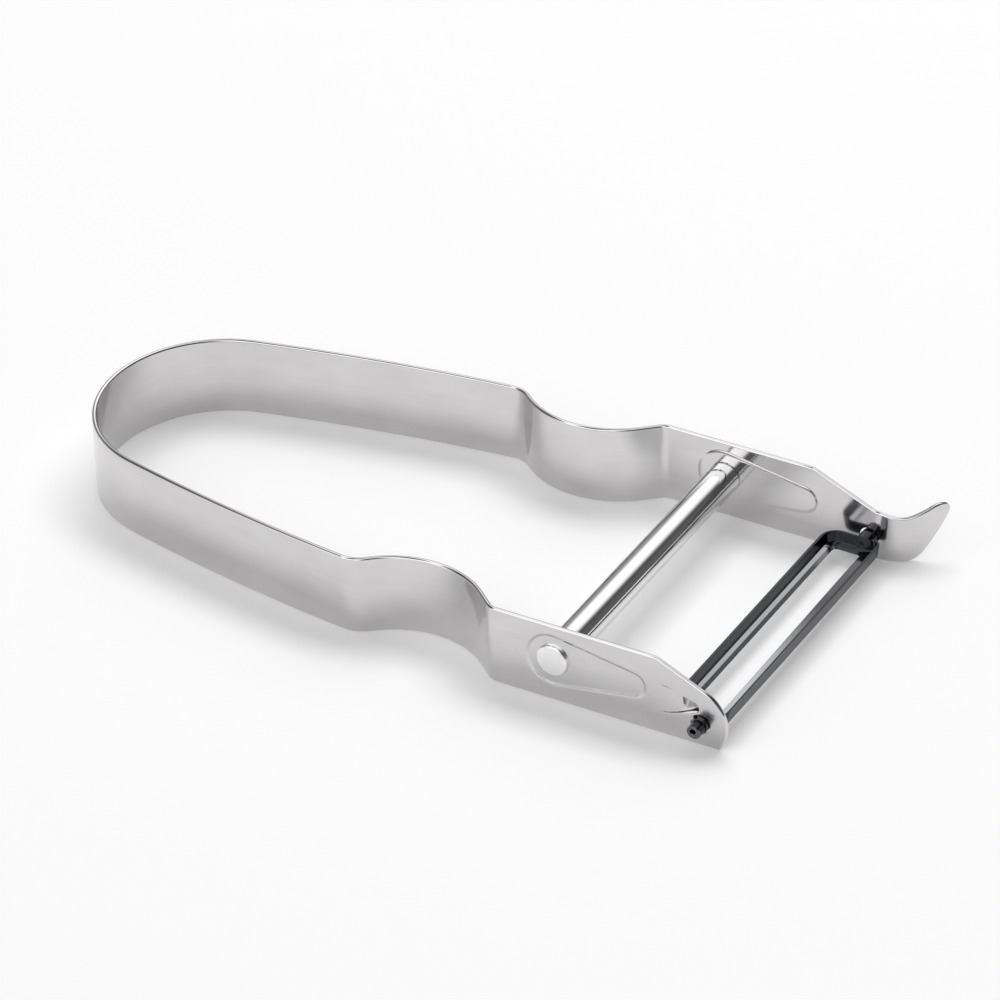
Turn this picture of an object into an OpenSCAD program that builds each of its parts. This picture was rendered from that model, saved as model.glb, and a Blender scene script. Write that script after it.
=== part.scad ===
// Vegetable peeler with a swivel blade between the two ends of one bent steel strip.
// X runs from the rear of the loop to the head, Z is up, and the loop is symmetric about Y = 0.
// The origin is on the lower edge of the strip, in the middle of its thickness, at the rear.

/* [Strip] */
// Height of the strip
strip_h = 12; // [10.5:0.25:15]
// Thickness of the strip
strip_t = 0.7; // [0.5:0.05:0.9]

/* [Loop handle] */
// Radius of the rear bend, to the middle of the strip
rear_bend_r = 17.1; // [15:0.1:18.5]
// Radius of the bowed sides of the loop
side_bow_r = 300; // [200:5:500]
// Distance from the rear of the loop to the centres of the shoulder bends
shoulder_x = 51.2; // [46:0.2:58]
// Half width of the loop at its shoulders, to the middle of the strip
shoulder_half_w = 23.1; // [21.6:0.1:25.5]
// Radius of the shoulder bends
shoulder_r = 4.4; // [3:0.1:6]
// Half width of the waist between the finger grips, to the middle of the strip
waist_half_w = 18.75; // [17:0.05:20]
// Radius of the finger grips
grip_r = 13.6; // [11:0.1:17]
// Straight length between a finger grip and the bend of a side plate
ramp_l = 2.8; // [1:0.1:5]
// Radius of the bend where a side plate starts
plate_bend_r = 2.45; // [1.5:0.05:4]

/* [Side plates] */
// Clear width between the side plates
head_gap = 47.8; // [44:0.2:52]
// Distance from the start of a side plate to the pivot of the blade
pivot_x = 30.8; // [28:0.1:34]
// Height of the pivot above the lower edge
pivot_z = 3.4; // [2.9:0.05:4]
// Radius of the rounded nose of the near plate
nose_r = 5.5; // [5:0.1:6]
// How far the centre of the nose arc lies behind the pivot
nose_back = 1.5; // [1:0.1:2.2]
// How far the centre of the nose arc lies above the pivot
nose_lift = 0.2; // [0:0.05:0.6]
// Slope of the upper edge towards the nose
slant_angle = 25; // [22:0.5:28]

/* [Pressed relief] */
// Depth of the pressed relief round the rivet
relief_d = 0.3; // [0.15:0.05:0.4]
// Radius of the rear end of the relief
relief_rear_r = 3.95; // [3.2:0.05:4.4]
// Radius of the front end of the relief
relief_front_r = 1.95; // [1.5:0.05:2.4]
// Distance between the centres of the two ends of the relief
relief_l = 12.1; // [10.5:0.1:13]

/* [Stop tongue] */
// Length of the stop tongue, from its root to its tip
tongue_l = 5.3; // [4.6:0.1:5.6]
// How far the tip of the stop tongue lies behind the pivot
tongue_back = 0.15; // [0:0.05:0.4]
// How far the tip of the stop tongue stands in from the plate
tongue_d = 1.8; // [1.6:0.05:2]
// Height of the stop tongue at its root
tongue_root_h = 4.3; // [3.8:0.1:4.6]
// Radius of the stop tongue's round tip
tongue_tip_r = 0.9; // [0.6:0.05:1]
// Height of the middle of the stop tongue above the pivot
tongue_rise = 2.35; // [2.25:0.05:2.6]
// Gap sheared round the stop tongue
shear_gap = 0.1; // [0.05:0.05:0.15]

/* [Eye remover] */
// Distance from the pivot to the line where the eye remover starts to curl
curl_start = 0.9; // [0.6:0.1:1.6]
// Radius of the curl, to the middle of the strip
curl_r = 7.7; // [6.5:0.1:9]
// Angle of the curl from its start to its tip
curl_angle = 82; // [76:1:86]
// Height of the strip where the eye remover starts
neck_h = 7.75; // [7.5:0.05:8]
// Slope of the far plate's upper edge down to the eye remover
neck_slope = 24; // [22:0.5:27]
// Height of the dip in the eye remover's upper edge
leaf_dip_z = 7.25; // [6.9:0.05:7.5]
// Length of the eye remover's level lower edge, along its chord
toe_l = 3.8; // [3:0.1:4.5]
// Length of the eye remover along its chord, to the corner at its tip
leaf_l = 11; // [10:0.1:12]
// Height of the corner at the eye remover's tip
leaf_tip_z = 7.6; // [7:0.1:8.2]
// Height of the crest of the eye remover's upper edge
leaf_crest_z = 8.9; // [8.5:0.1:9.5]
// Radius of the eye remover's round tip
leaf_tip_r = 1.1; // [0.8:0.05:1.3]

/* [Crossbar] */
// Distance from the start of a side plate to the axis of the crossbar
bar_x = 8.6; // [7.5:0.1:10]
// Height of the crossbar's axis
bar_z = 6.5; // [6:0.1:7]
// Outer radius of the spacer tube
bar_r = 2.3; // [2:0.05:2.8]
// Radius of the rivet's shank
shank_r = 1.3; // [1:0.05:1.5]
// Gap all round the rivet's shank
shank_gap = 0.05; // [0.02:0.01:0.1]
// Radius of the rivet's heads
rivet_head_r = 2.4; // [2.1:0.05:2.8]
// Thickness of the rivet's heads
rivet_head_t = 0.7; // [0.5:0.05:1]

/* [Blade] */
// Thickness of the blade's sheet
blade_t = 0.45; // [0.35:0.05:0.5]
// Distance from the pivot back to the lower outer edge of the guard bar
blade_back = 5.4; // [5:0.05:5.7]
// Distance from the pivot forward to the lower outer edge of the cutting bar
blade_front = 2.4; // [2:0.05:2.7]
// Depth of the blade's underside below the pivot
blade_drop = 1.4; // [1.3:0.05:1.6]
// Height of the blade's turned-up rim above its underside
rim_h = 2.15; // [1.8:0.05:2.3]
// How far the rim leans out over its height
rim_lean = 0.3; // [0.1:0.05:0.5]
// Gap between an end of the blade and a side plate
blade_end_gap = 1.25; // [1.1:0.05:1.4]
// Width of the slot
slot_w = 3.55; // [3:0.05:3.9]
// Distance from the pivot back to the cutting edge of the slot
cut_back = 0.05; // [0:0.05:0.4]
// Length of web between an end of the slot and the end of the blade
slot_end_web = 1.6; // [1.3:0.1:2.5]
// Width of the ground bevels along the slot
bevel_w = 0.7; // [0.5:0.05:0.9]
// Radius of the rolled pins
pin_r = 1.38; // [1.25:0.01:1.4]
// Running gap all round a rolled pin
pin_gap = 0.07; // [0.03:0.01:0.1]
// Length of a rolled pin outside its plate
pin_out = 0.5; // [0.3:0.05:1]
// Radius of the slimmer tip of a pin
pin_tip_r = 1.04; // [0.8:0.02:1.1]
// Length of the slimmer tip of a pin
pin_tip_l = 1.5; // [1:0.05:2]

/* [Hidden] */
// One overrun serves all cuts
cut = strip_t;
round_fn = 48;
// Largest turn between two neighbouring points of a bend, and of a small round outline
bend_turn = 4;
outline_turn = 10;
bow_steps = 8;
corner_steps = 6;

// Plan of one side of the loop: arcs and a straight, each tangent to the next
plate_y = head_gap / 2 + strip_t / 2;
rear_c = [rear_bend_r, 0];
shoulder_c = [shoulder_x, shoulder_half_w - shoulder_r];
bow_c = lower_meeting(rear_c, side_bow_r - rear_bend_r, shoulder_c, side_bow_r - shoulder_r);
grip_y = waist_half_w + grip_r;
grip_c = [shoulder_x + leg(shoulder_r + grip_r, grip_y - shoulder_c.y), grip_y];
ramp_reach = grip_r + plate_bend_r;
ramp_rise = plate_y - waist_half_w;
ramp_angle = acos((ramp_reach - ramp_rise) / norm([ramp_reach, ramp_l])) - atan2(ramp_l, ramp_reach);
ramp_start = grip_c + grip_r * heading(ramp_angle - 90);
ramp_end = ramp_start + ramp_l * heading(ramp_angle);
plate_bend_c = [ramp_end.x + plate_bend_r * sin(ramp_angle), plate_y - plate_bend_r];
bow_from = bearing(rear_c - bow_c);
bow_to = bearing(shoulder_c - bow_c);
shoulder_to = bearing(grip_c - shoulder_c);

// Places in the head, side on: distance from the rear of the loop, and height
plate_x = plate_bend_c.x;
pivot = [plate_x + pivot_x, pivot_z];
bar_axis = [plate_x + bar_x, bar_z];
nose_c = pivot + [-nose_back, nose_lift];
nose_top = nose_c + nose_r * heading(90 - slant_angle);
nose_toe = [nose_c.x + leg(nose_r, nose_c.y), 0];
slant_top = [nose_top.x - (strip_h - nose_top.y) / tan(slant_angle), strip_h];
curl_x = pivot.x + curl_start;
curl_c = [curl_x, plate_y + curl_r];
curl_spare = 10;
neck_top = [curl_x - (strip_h - neck_h) / tan(neck_slope), strip_h];
tongue_tip_c = pivot + [-tongue_back - tongue_tip_r, tongue_rise];
tongue_root_c = pivot + [-tongue_back - tongue_l, tongue_rise];
tongue_bend_r = (tongue_l * tongue_l + tongue_d * tongue_d) / (2 * tongue_d);
tongue_lap = tongue_l / 10;
tongue_angle = asin((tongue_l + cut) / tongue_bend_r);
face_gap = head_gap / 2 - relief_d;
plate_out = head_gap / 2 + strip_t;

// Plan of the blade, from the pivot
blade_y = head_gap / 2 - blade_end_gap;
base_y = blade_y - rim_lean;
base_z = -blade_drop;
rear_corner_r = 2.2;
front_corner_r = 0.9;
slot_y = blade_y - slot_end_web;
slot_corner_r = 0.8;
roll_in = 1.2;
pin_bore_r = 0.4;

function heading(a) = [cos(a), sin(a)];
function bearing(v) = atan2(v.y, v.x);
function unit(v) = v / norm(v);
function leg(hyp, side) = sqrt(hyp * hyp - side * side);
function flat(p) = [p.x, p.y];
function backwards(points) = [for (i = [len(points) - 1:-1:0]) points[i]];
// Points of an arc, without the last
function arc(c, r, from, to, steps) =
    [for (i = [0:steps - 1]) c + r * heading(from + (to - from) * i / steps)];
function steps(turn, largest) = ceil(abs(turn) / largest);
function bend_arc(c, r, from, to) = arc(c, r, from, to, steps(to - from, bend_turn));
// The lower of the two points that lie ra from a and rb from b
function lower_meeting(a, ra, b, rb) =
    let (d = norm(b - a), u = unit(b - a), along = (d * d + ra * ra - rb * rb) / (2 * d))
    a + along * u + leg(ra, along) * [u.y, -u.x];
// The arc of radius r that rounds the corner q between p and s, or q itself if r is 0
function corner(p, q, s, r) =
    let (u = unit(p - q), v = unit(s - q), half = acos(u * v) / 2)
    let (c = q + unit(u + v) * r / sin(half), from = bearing(q + u * r / tan(half) - c))
    let (to = bearing(q + v * r / tan(half) - c), turn = (to - from + 540) % 360 - 180)
    r == 0 ? [q] : [for (i = [0:corner_steps]) c + r * heading(from + turn * i / corner_steps)];
// An outline whose points are each [x, y, radius of the corner]
function rounded(points) =
    let (n = len(points))
    [for (i = [0:n - 1])
        each corner(flat(points[(i + n - 1) % n]), flat(points[i]), flat(points[(i + 1) % n]), points[i].z)];

// One face of the strip, d outside its middle, from the start of a plate back to the rear
function side_line(d) = concat(
    bend_arc(plate_bend_c, plate_bend_r + d, 90, 90 + ramp_angle),
    bend_arc(grip_c, grip_r - d, ramp_angle + 270, shoulder_to + 180),
    bend_arc(shoulder_c, shoulder_r + d, shoulder_to, bow_to),
    arc(bow_c, side_bow_r + d, bow_to, bow_from, bow_steps),
    bend_arc(rear_c, rear_bend_r + d, bow_from, 180)
);
function loop_line(d) = concat(
    side_line(d),
    [rear_c - [rear_bend_r + d, 0]],
    [for (p = backwards(side_line(d))) [p.x, -p.y]]
);

module loop_handle()
    linear_extrude(strip_h)
        polygon(concat(loop_line(strip_t / 2), backwards(loop_line(-strip_t / 2))));

// A side view drawn in X and Z, as a sheet of thickness t that starts at y
module side_on(y, t)
    translate([0, y + t, 0])
        rotate([90, 0, 0])
            linear_extrude(t)
                children();

// A shaft along Y between y and y + l, at a place given side on
module shaft(at, y, l, r)
    translate([at.x, y, at.y])
        rotate([-90, 0, 0])
            cylinder(h = l, r = r, $fn = round_fn);

// Two circles and the tangents that join them, with c2 in front of c1
module egg(c1, r1, c2, r2) {
    tangent = acos((r1 - r2) / norm(c2 - c1));
    tilt = bearing(c2 - c1);
    polygon(concat(
        arc(c1, r1, tilt + tangent, tilt + 360 - tangent, steps(360 - 2 * tangent, outline_turn)),
        [c1 + r1 * heading(tilt - tangent)],
        arc(c2, r2, tilt - tangent, tilt + tangent, steps(2 * tangent, outline_turn)),
        [c2 + r2 * heading(tilt + tangent)]
    ));
}

module near_outline()
    polygon(concat(
        [[plate_x, 0]],
        bend_arc(nose_c, nose_r, bearing(nose_toe - nose_c), 90 - slant_angle),
        [nose_top, slant_top, [plate_x, strip_h]]
    ));

module far_outline()
    polygon([[plate_x, 0], [curl_x, 0], [curl_x, neck_h], neck_top, [plate_x, strip_h]]);

module relief_outline()
    egg(bar_axis, relief_rear_r, bar_axis + [relief_l, 0], relief_front_r);

module tongue_outline(gap, from)
    intersection() {
        egg(tongue_root_c, tongue_root_h / 2 - gap, tongue_tip_c, tongue_tip_r - gap);
        translate([tongue_root_c.x - from, 0])
            square([tongue_l + from, strip_h]);
    }

// The strip bent in past the tongue's root, from a short length that is still flat
module tongue_bend() {
    c = [tongue_root_c.x, plate_y - tongue_bend_r];
    outer_r = tongue_bend_r + strip_t / 2;
    inner_r = tongue_bend_r - strip_t / 2;
    linear_extrude(strip_h)
        polygon(concat(
            [c + [-tongue_lap, outer_r]],
            bend_arc(c, outer_r, 90, 90 - tongue_angle),
            [c + outer_r * heading(90 - tongue_angle), c + inner_r * heading(90 - tongue_angle)],
            backwards(bend_arc(c, inner_r, 90, 90 - tongue_angle)),
            [c + [-tongue_lap, inner_r]]
        ));
}

// A plate with its relief pressed inward and its two holes, where Y is positive
module pressed_plate()
    difference() {
        union() {
            children();
            side_on(face_gap, relief_d)
                relief_outline();
        }
        side_on(plate_out - relief_d, relief_d + cut)
            relief_outline();
        shaft(pivot, head_gap / 2 - cut, strip_t + 2 * cut, pin_r + pin_gap);
        shaft(bar_axis, face_gap - cut, strip_t + 2 * cut, shank_r + shank_gap);
    }

// A tongue sheared on three sides and bent in, which ends the blade's turn both ways
module stop_tongue() {
    difference() {
        children();
        side_on(head_gap / 2 - cut, strip_t + 2 * cut)
            tongue_outline(0, 0);
    }
    intersection() {
        tongue_bend();
        side_on(face_gap - tongue_d - strip_t, tongue_d + 2 * strip_t + relief_d)
            tongue_outline(shear_gap, tongue_lap);
    }
}

// The eye remover curls out of the far plate, and is cut to a leaf seen square to its chord
module eye_remover()
    intersection() {
        linear_extrude(strip_h)
            polygon(concat(
                bend_arc(curl_c, curl_r + strip_t / 2, 270, 270 + curl_angle + curl_spare),
                backwards(bend_arc(curl_c, curl_r - strip_t / 2, 270, 270 + curl_angle + curl_spare))
            ));
        translate([curl_x, plate_y, 0])
            rotate(curl_angle / 2)
                side_on(-curl_r / 2, curl_r)
                    polygon(rounded([
                        [-cut, 0, 0],
                        [toe_l, 0, 2 * leaf_tip_r],
                        [leaf_l, leaf_tip_z, leaf_tip_r],
                        [leaf_l - 2 * leaf_tip_r, leaf_crest_z, 2 * leaf_tip_r],
                        [toe_l * 2 / 3, leaf_dip_z, toe_l],
                        [0, neck_h, 0],
                        [-cut, neck_h, 0],
                    ]));
    }

module strip_frame()
    color("silver") {
        loop_handle();
        mirror([0, 1, 0])
            stop_tongue()
                pressed_plate()
                    side_on(head_gap / 2, strip_t)
                        near_outline();
        pressed_plate() {
            side_on(head_gap / 2, strip_t)
                far_outline();
            eye_remover();
        }
    }

module spacer_tube()
    color("gainsboro")
        difference() {
            shaft(bar_axis, -face_gap, 2 * face_gap, bar_r);
            shaft(bar_axis, -face_gap - cut, 2 * face_gap + 2 * cut, shank_r + shank_gap);
        }

// A flat head on each side, seated on the floor of the relief
module through_rivet()
    color("whitesmoke") {
        seat_y = plate_out - relief_d;
        shaft(bar_axis, -seat_y, 2 * seat_y, shank_r);
        for (y = [-seat_y - rivet_head_t, seat_y])
            shaft(bar_axis, y, rivet_head_t, rivet_head_r);
    }

// Section of the blade's rim, from its lower outer corner
module rim_section()
    polygon(rounded([
        [-blade_t, 0, 0],
        [0, 0, blade_t],
        [rim_lean, rim_h, 0],
        [rim_lean - blade_t, rim_h, 0],
        [-blade_t, blade_t, 0],
    ]));

module rim_run(at, a, l)
    translate(at)
        rotate(a)
            rotate([90, 0, 90])
                linear_extrude(l)
                    mirror([1, 0])
                        rim_section();

module rim_corner(at, a, r)
    translate(at)
        rotate(a)
            rotate_extrude(angle = 90, $fn = round_fn)
                translate([r, 0])
                    rim_section();

// A rectangle from x0 to x1 and from -y to y, with one radius at its rear and one at its front
module rounded_plan(x0, x1, y, rear_r, front_r) {
    translate([x0 + rear_r, -y])
        square([x1 - x0 - rear_r - front_r, 2 * y]);
    translate([x0, -y + rear_r])
        square([rear_r, 2 * (y - rear_r)]);
    translate([x1 - front_r, -y + front_r])
        square([front_r, 2 * (y - front_r)]);
    for (side = [-1, 1]) {
        translate([x0 + rear_r, side * (y - rear_r)])
            circle(rear_r, $fn = round_fn);
        translate([x1 - front_r, side * (y - front_r)])
            circle(front_r, $fn = round_fn);
    }
}

module blade_rim() {
    rear_y = base_y - rear_corner_r;
    front_y = base_y - front_corner_r;
    rear_x = rear_corner_r - blade_back;
    front_x = blade_front - front_corner_r;
    rim_run([-blade_back, rear_y], 270, 2 * rear_y);
    rim_corner([rear_x, -rear_y], 180, rear_corner_r);
    rim_run([rear_x, -base_y], 0, front_x - rear_x);
    rim_corner([front_x, -front_y], 270, front_corner_r);
    rim_run([blade_front, -front_y], 90, 2 * front_y);
    rim_corner([front_x, front_y], 0, front_corner_r);
    rim_run([front_x, base_y], 180, front_x - rear_x);
    rim_corner([rear_x, rear_y], 90, rear_corner_r);
}

module blade_floor() {
    slot_from = -cut_back - slot_w;
    difference() {
        linear_extrude(blade_t)
            rounded_plan(blade_t - blade_back, blade_front - blade_t, base_y - blade_t,
                rear_corner_r - blade_t, front_corner_r - blade_t);
        translate([0, 0, -cut])
            linear_extrude(blade_t + 2 * cut)
                rounded_plan(slot_from, -cut_back, slot_y, slot_corner_r, slot_corner_r);
        side_on(slot_corner_r - slot_y, 2 * (slot_y - slot_corner_r))
            polygon([
                [slot_from, 0],
                [-cut_back, 0],
                [-cut_back + bevel_w, blade_t],
                [-cut_back + bevel_w, blade_t + cut],
                [slot_from - bevel_w, blade_t + cut],
                [slot_from - bevel_w, blade_t],
            ]);
    }
}

module swivel_blade()
    color("dimgray")
        translate([pivot.x, 0, pivot.y]) {
            translate([0, 0, base_z]) {
                blade_rim();
                blade_floor();
            }
            for (end = [0, 1])
                mirror([0, end, 0])
                    difference() {
                        union() {
                            shaft([0, 0], blade_y - roll_in, plate_out + pin_out - blade_y + roll_in, pin_r);
                            shaft([0, 0], plate_out, pin_out + pin_tip_l, pin_tip_r);
                        }
                        shaft([0, 0], blade_y, plate_out + pin_out + pin_tip_l - blade_y + cut, pin_bore_r);
                    }
        }

strip_frame();
spacer_tube();
through_rivet();
swivel_blade();
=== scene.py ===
import math

import bpy
import numpy as np
from mathutils import Matrix, Vector
from mathutils.geometry import delaunay_2d_cdt


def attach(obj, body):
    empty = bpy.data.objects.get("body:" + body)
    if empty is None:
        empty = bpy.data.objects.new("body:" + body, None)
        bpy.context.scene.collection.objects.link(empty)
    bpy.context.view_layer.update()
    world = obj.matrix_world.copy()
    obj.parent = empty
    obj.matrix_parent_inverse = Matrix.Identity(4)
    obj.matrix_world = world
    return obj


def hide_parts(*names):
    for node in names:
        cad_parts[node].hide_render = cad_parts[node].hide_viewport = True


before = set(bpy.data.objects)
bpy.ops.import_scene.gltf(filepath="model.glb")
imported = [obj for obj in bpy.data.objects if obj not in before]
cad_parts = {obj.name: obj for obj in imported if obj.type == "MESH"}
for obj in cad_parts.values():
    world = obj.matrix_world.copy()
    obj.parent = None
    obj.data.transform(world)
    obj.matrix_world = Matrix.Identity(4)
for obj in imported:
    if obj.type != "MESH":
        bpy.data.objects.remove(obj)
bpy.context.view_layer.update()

# ---------------------------------------------------------------------------
# Steel strip: the loop handle, both side plates and the eye remover, all one polished stainless
# strip. It is blanked flat, the relief round each rivet head is coined, the stop tongue is pushed
# in, and the strip is bent round formers. Tumbling has broken all its edges.
# ---------------------------------------------------------------------------
MM = 0.001
strip_height, strip_thickness = 12.0, 0.7
strip_edge_r, strip_crown, top_corner_r = 0.07, 0.28, 0.5
pivot_x, pivot_z = 106.1489, 3.4
plate_start_x, plate_mid_y = 75.3489, 24.25
nose_x, nose_z, nose_r = 104.6489, 3.6, 5.5
nose_tip_x = nose_x + nose_r
slant, neck_slope = math.radians(25), math.radians(24)
neck_height = 7.75
curl_x, curl_r = pivot_x + 0.9, 7.7
curl_chord, curl_turn = math.radians(41), math.radians(100)
# Each bend from the rear of the loop to a side plate: radius and turn, then the straight ramp
side_bends = [(17.1, -76.635986), (300.0, -7.287997), (4.4, -46.758529), (13.6, 80.430123)]
ramp_length = 2.8
plate_bend = (2.45, -39.747610)
bar_x, bar_z = plate_start_x + 8.6, 6.5
# The relief is a wedge with round ends, and its side slopes over half_step each way of its outline
relief_rear_r, relief_front_r, relief_length = 3.95, 1.95, 12.1
relief_depth, relief_half_step = 0.18, 0.28
rivet_hole_r, pin_hole_r = 1.35, 1.45
tongue_root_r, tongue_tip_r, tongue_gap = 2.15, 0.9, 0.1
tongue_depth, tongue_length = 1.8, 5.3
tongue_end_x, tongue_z = pivot_x - 0.15, pivot_z + 2.35
tongue_root_x, tongue_tip_x = tongue_end_x - tongue_length, tongue_end_x - tongue_tip_r
tongue_twist_from, tongue_twist_over, tongue_twist_up, tongue_twist = 2.5, 0.7, 3, 0.4
tongue_bend_r = (tongue_length ** 2 + tongue_depth ** 2) / (2 * tongue_depth)
# How far from its root the tongue's bend is worked out, well past its tip
tongue_bend_end = tongue_bend_r * 0.9


def unit(v):
    return v / np.maximum(np.linalg.norm(v, axis=-1, keepdims=True), 1e-12)


def eased(t):
    """From 0 to 1 with a soft start and a soft end, as t goes from 0 to 1."""
    t = np.clip(t, 0, 1)
    return t * t * (3 - 2 * t)


def arc_of(cx, cy, r, start, end, step=8.0):
    """Points of an arc, both ends with it, in degrees."""
    n = max(2, math.ceil(abs(end - start) / step) + 1)
    a = np.radians(np.linspace(start, end, n))
    return np.stack([cx + r * np.cos(a), cy + r * np.sin(a)], 1)


def rounded_path(points, closed=False):
    """The points of a path whose corners, each x, y and radius, are rounded."""
    out = []
    n = len(points)
    for i, (x, y, r) in enumerate(points):
        q = np.array([x, y])
        if r == 0 or (not closed and i in (0, n - 1)):
            out.append(q[None])
            continue
        before = unit(np.array(points[i - 1][:2]) - q)
        after = unit(np.array(points[(i + 1) % n][:2]) - q)
        half = math.acos(np.clip(before @ after, -1, 1)) / 2
        c = q + unit(before + after) * r / math.sin(half)
        foot = q + before * r / math.tan(half) - c
        head = q + after * r / math.tan(half) - c
        start = math.degrees(math.atan2(foot[1], foot[0]))
        turn = (math.degrees(math.atan2(head[1], head[0])) - start + 540) % 360 - 180
        out.append(arc_of(*c, r, start, start + turn))
    return np.concatenate(out)


def filled_out(points, spacing, closed=True):
    """The same path with points added so that none of its sides is longer than the spacing."""
    ends = np.roll(points, -1, 0) if closed else points[1:]
    out = []
    for a, b in zip(points, ends):
        n = max(1, math.ceil(np.linalg.norm(b - a) / spacing))
        out.append(a + (b - a) * (np.arange(n) / n)[:, None])
    if not closed:
        out.append(points[-1:])
    return np.concatenate(out)


def without_repeats(points, closed=True):
    nearest = np.linalg.norm(points - np.roll(points, 1, 0), axis=1)
    if not closed:
        nearest[0] = 1
    touching = 1e-4
    return points[nearest > touching]


points_at_once = 1000


def inside_of(points, loops):
    """True where a point lies inside an odd number of the loops."""
    odd = np.zeros(len(points), bool)
    for loop in loops:
        a, b = loop, np.roll(loop, -1, 0)
        rise = np.where(b[:, 1] == a[:, 1], 1, b[:, 1] - a[:, 1])
        for first in range(0, len(points), points_at_once):
            p = points[first:first + points_at_once]
            above = (a[:, 1] > p[:, 1, None]) != (b[:, 1] > p[:, 1, None])
            cross = a[:, 0] + (p[:, 1, None] - a[:, 1]) * (b[:, 0] - a[:, 0]) / rise
            crossed = (above & (p[:, 0, None] < cross)).sum(1)
            odd[first:first + points_at_once] ^= (crossed % 2).astype(bool)
    return odd


def nearest_gap(points, others):
    gap = np.full(len(points), np.inf)
    for first in range(0, len(points), points_at_once):
        p = points[first:first + points_at_once]
        squares = ((p[:, None] - others[None]) ** 2).sum(2)
        gap[first:first + points_at_once] = np.sqrt(squares.min(1))
    return gap


def edge_out(loop):
    """The direction away from the metal at each point of a loop with the metal on its left. It is
    longer at a corner, so that both sides move out alike."""
    along = unit(np.roll(loop, -1, 0) - loop)
    side = np.stack([along[:, 1], -along[:, 0]], 1)
    both = side + np.roll(side, 1, 0)
    sharpest = 0.4
    return both / np.maximum((both * side).sum(1, keepdims=True), sharpest)


def faces_between(a, b):
    """The faces between two closed rings, each given by the numbers of its points."""
    return np.stack([a, np.roll(a, -1), np.roll(b, -1), b], 1).tolist()


def mesh_piece(name, points, faces, normals, places=None, ground=None):
    """A mesh piece in metres from points in millimetres, with each face turned to its normals.
    places says where each point lies in its metal, in millimetres, with the grain along X, and
    ground how bright each point is painted: ground metal, and in places painted light and shade."""
    points = np.asarray(points, float)
    normals = unit(np.asarray(normals, float))
    turned = []
    for face in faces:
        a, b, c = points[face[0]], points[face[1]], points[face[2]]
        flat = np.cross(b - a, c - a)
        if len(face) == 4:
            flat = np.cross(c - a, points[face[3]] - b)
        turned.append(face if flat @ normals[list(face)].sum(0) >= 0 else face[::-1])
    mesh = bpy.data.meshes.new(name)
    mesh.from_pydata((points * MM).tolist(), [], turned)
    mesh.polygons.foreach_set("use_smooth", np.ones(len(turned), bool))
    places = points[:, [1, 0, 2]] if places is None else places
    layer = mesh.attributes.new("grain_place", "FLOAT_VECTOR", "POINT")
    layer.data.foreach_set("vector", np.asarray(places, np.float32).ravel())
    if ground is not None:
        layer = mesh.attributes.new("ground", "FLOAT", "POINT")
        layer.data.foreach_set("value", np.asarray(ground, np.float32))
    mesh.update()
    mesh.normals_split_custom_set_from_vertices(normals.tolist())
    piece = bpy.data.objects.new(name, mesh)
    bpy.context.scene.collection.objects.link(piece)
    return piece


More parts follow.
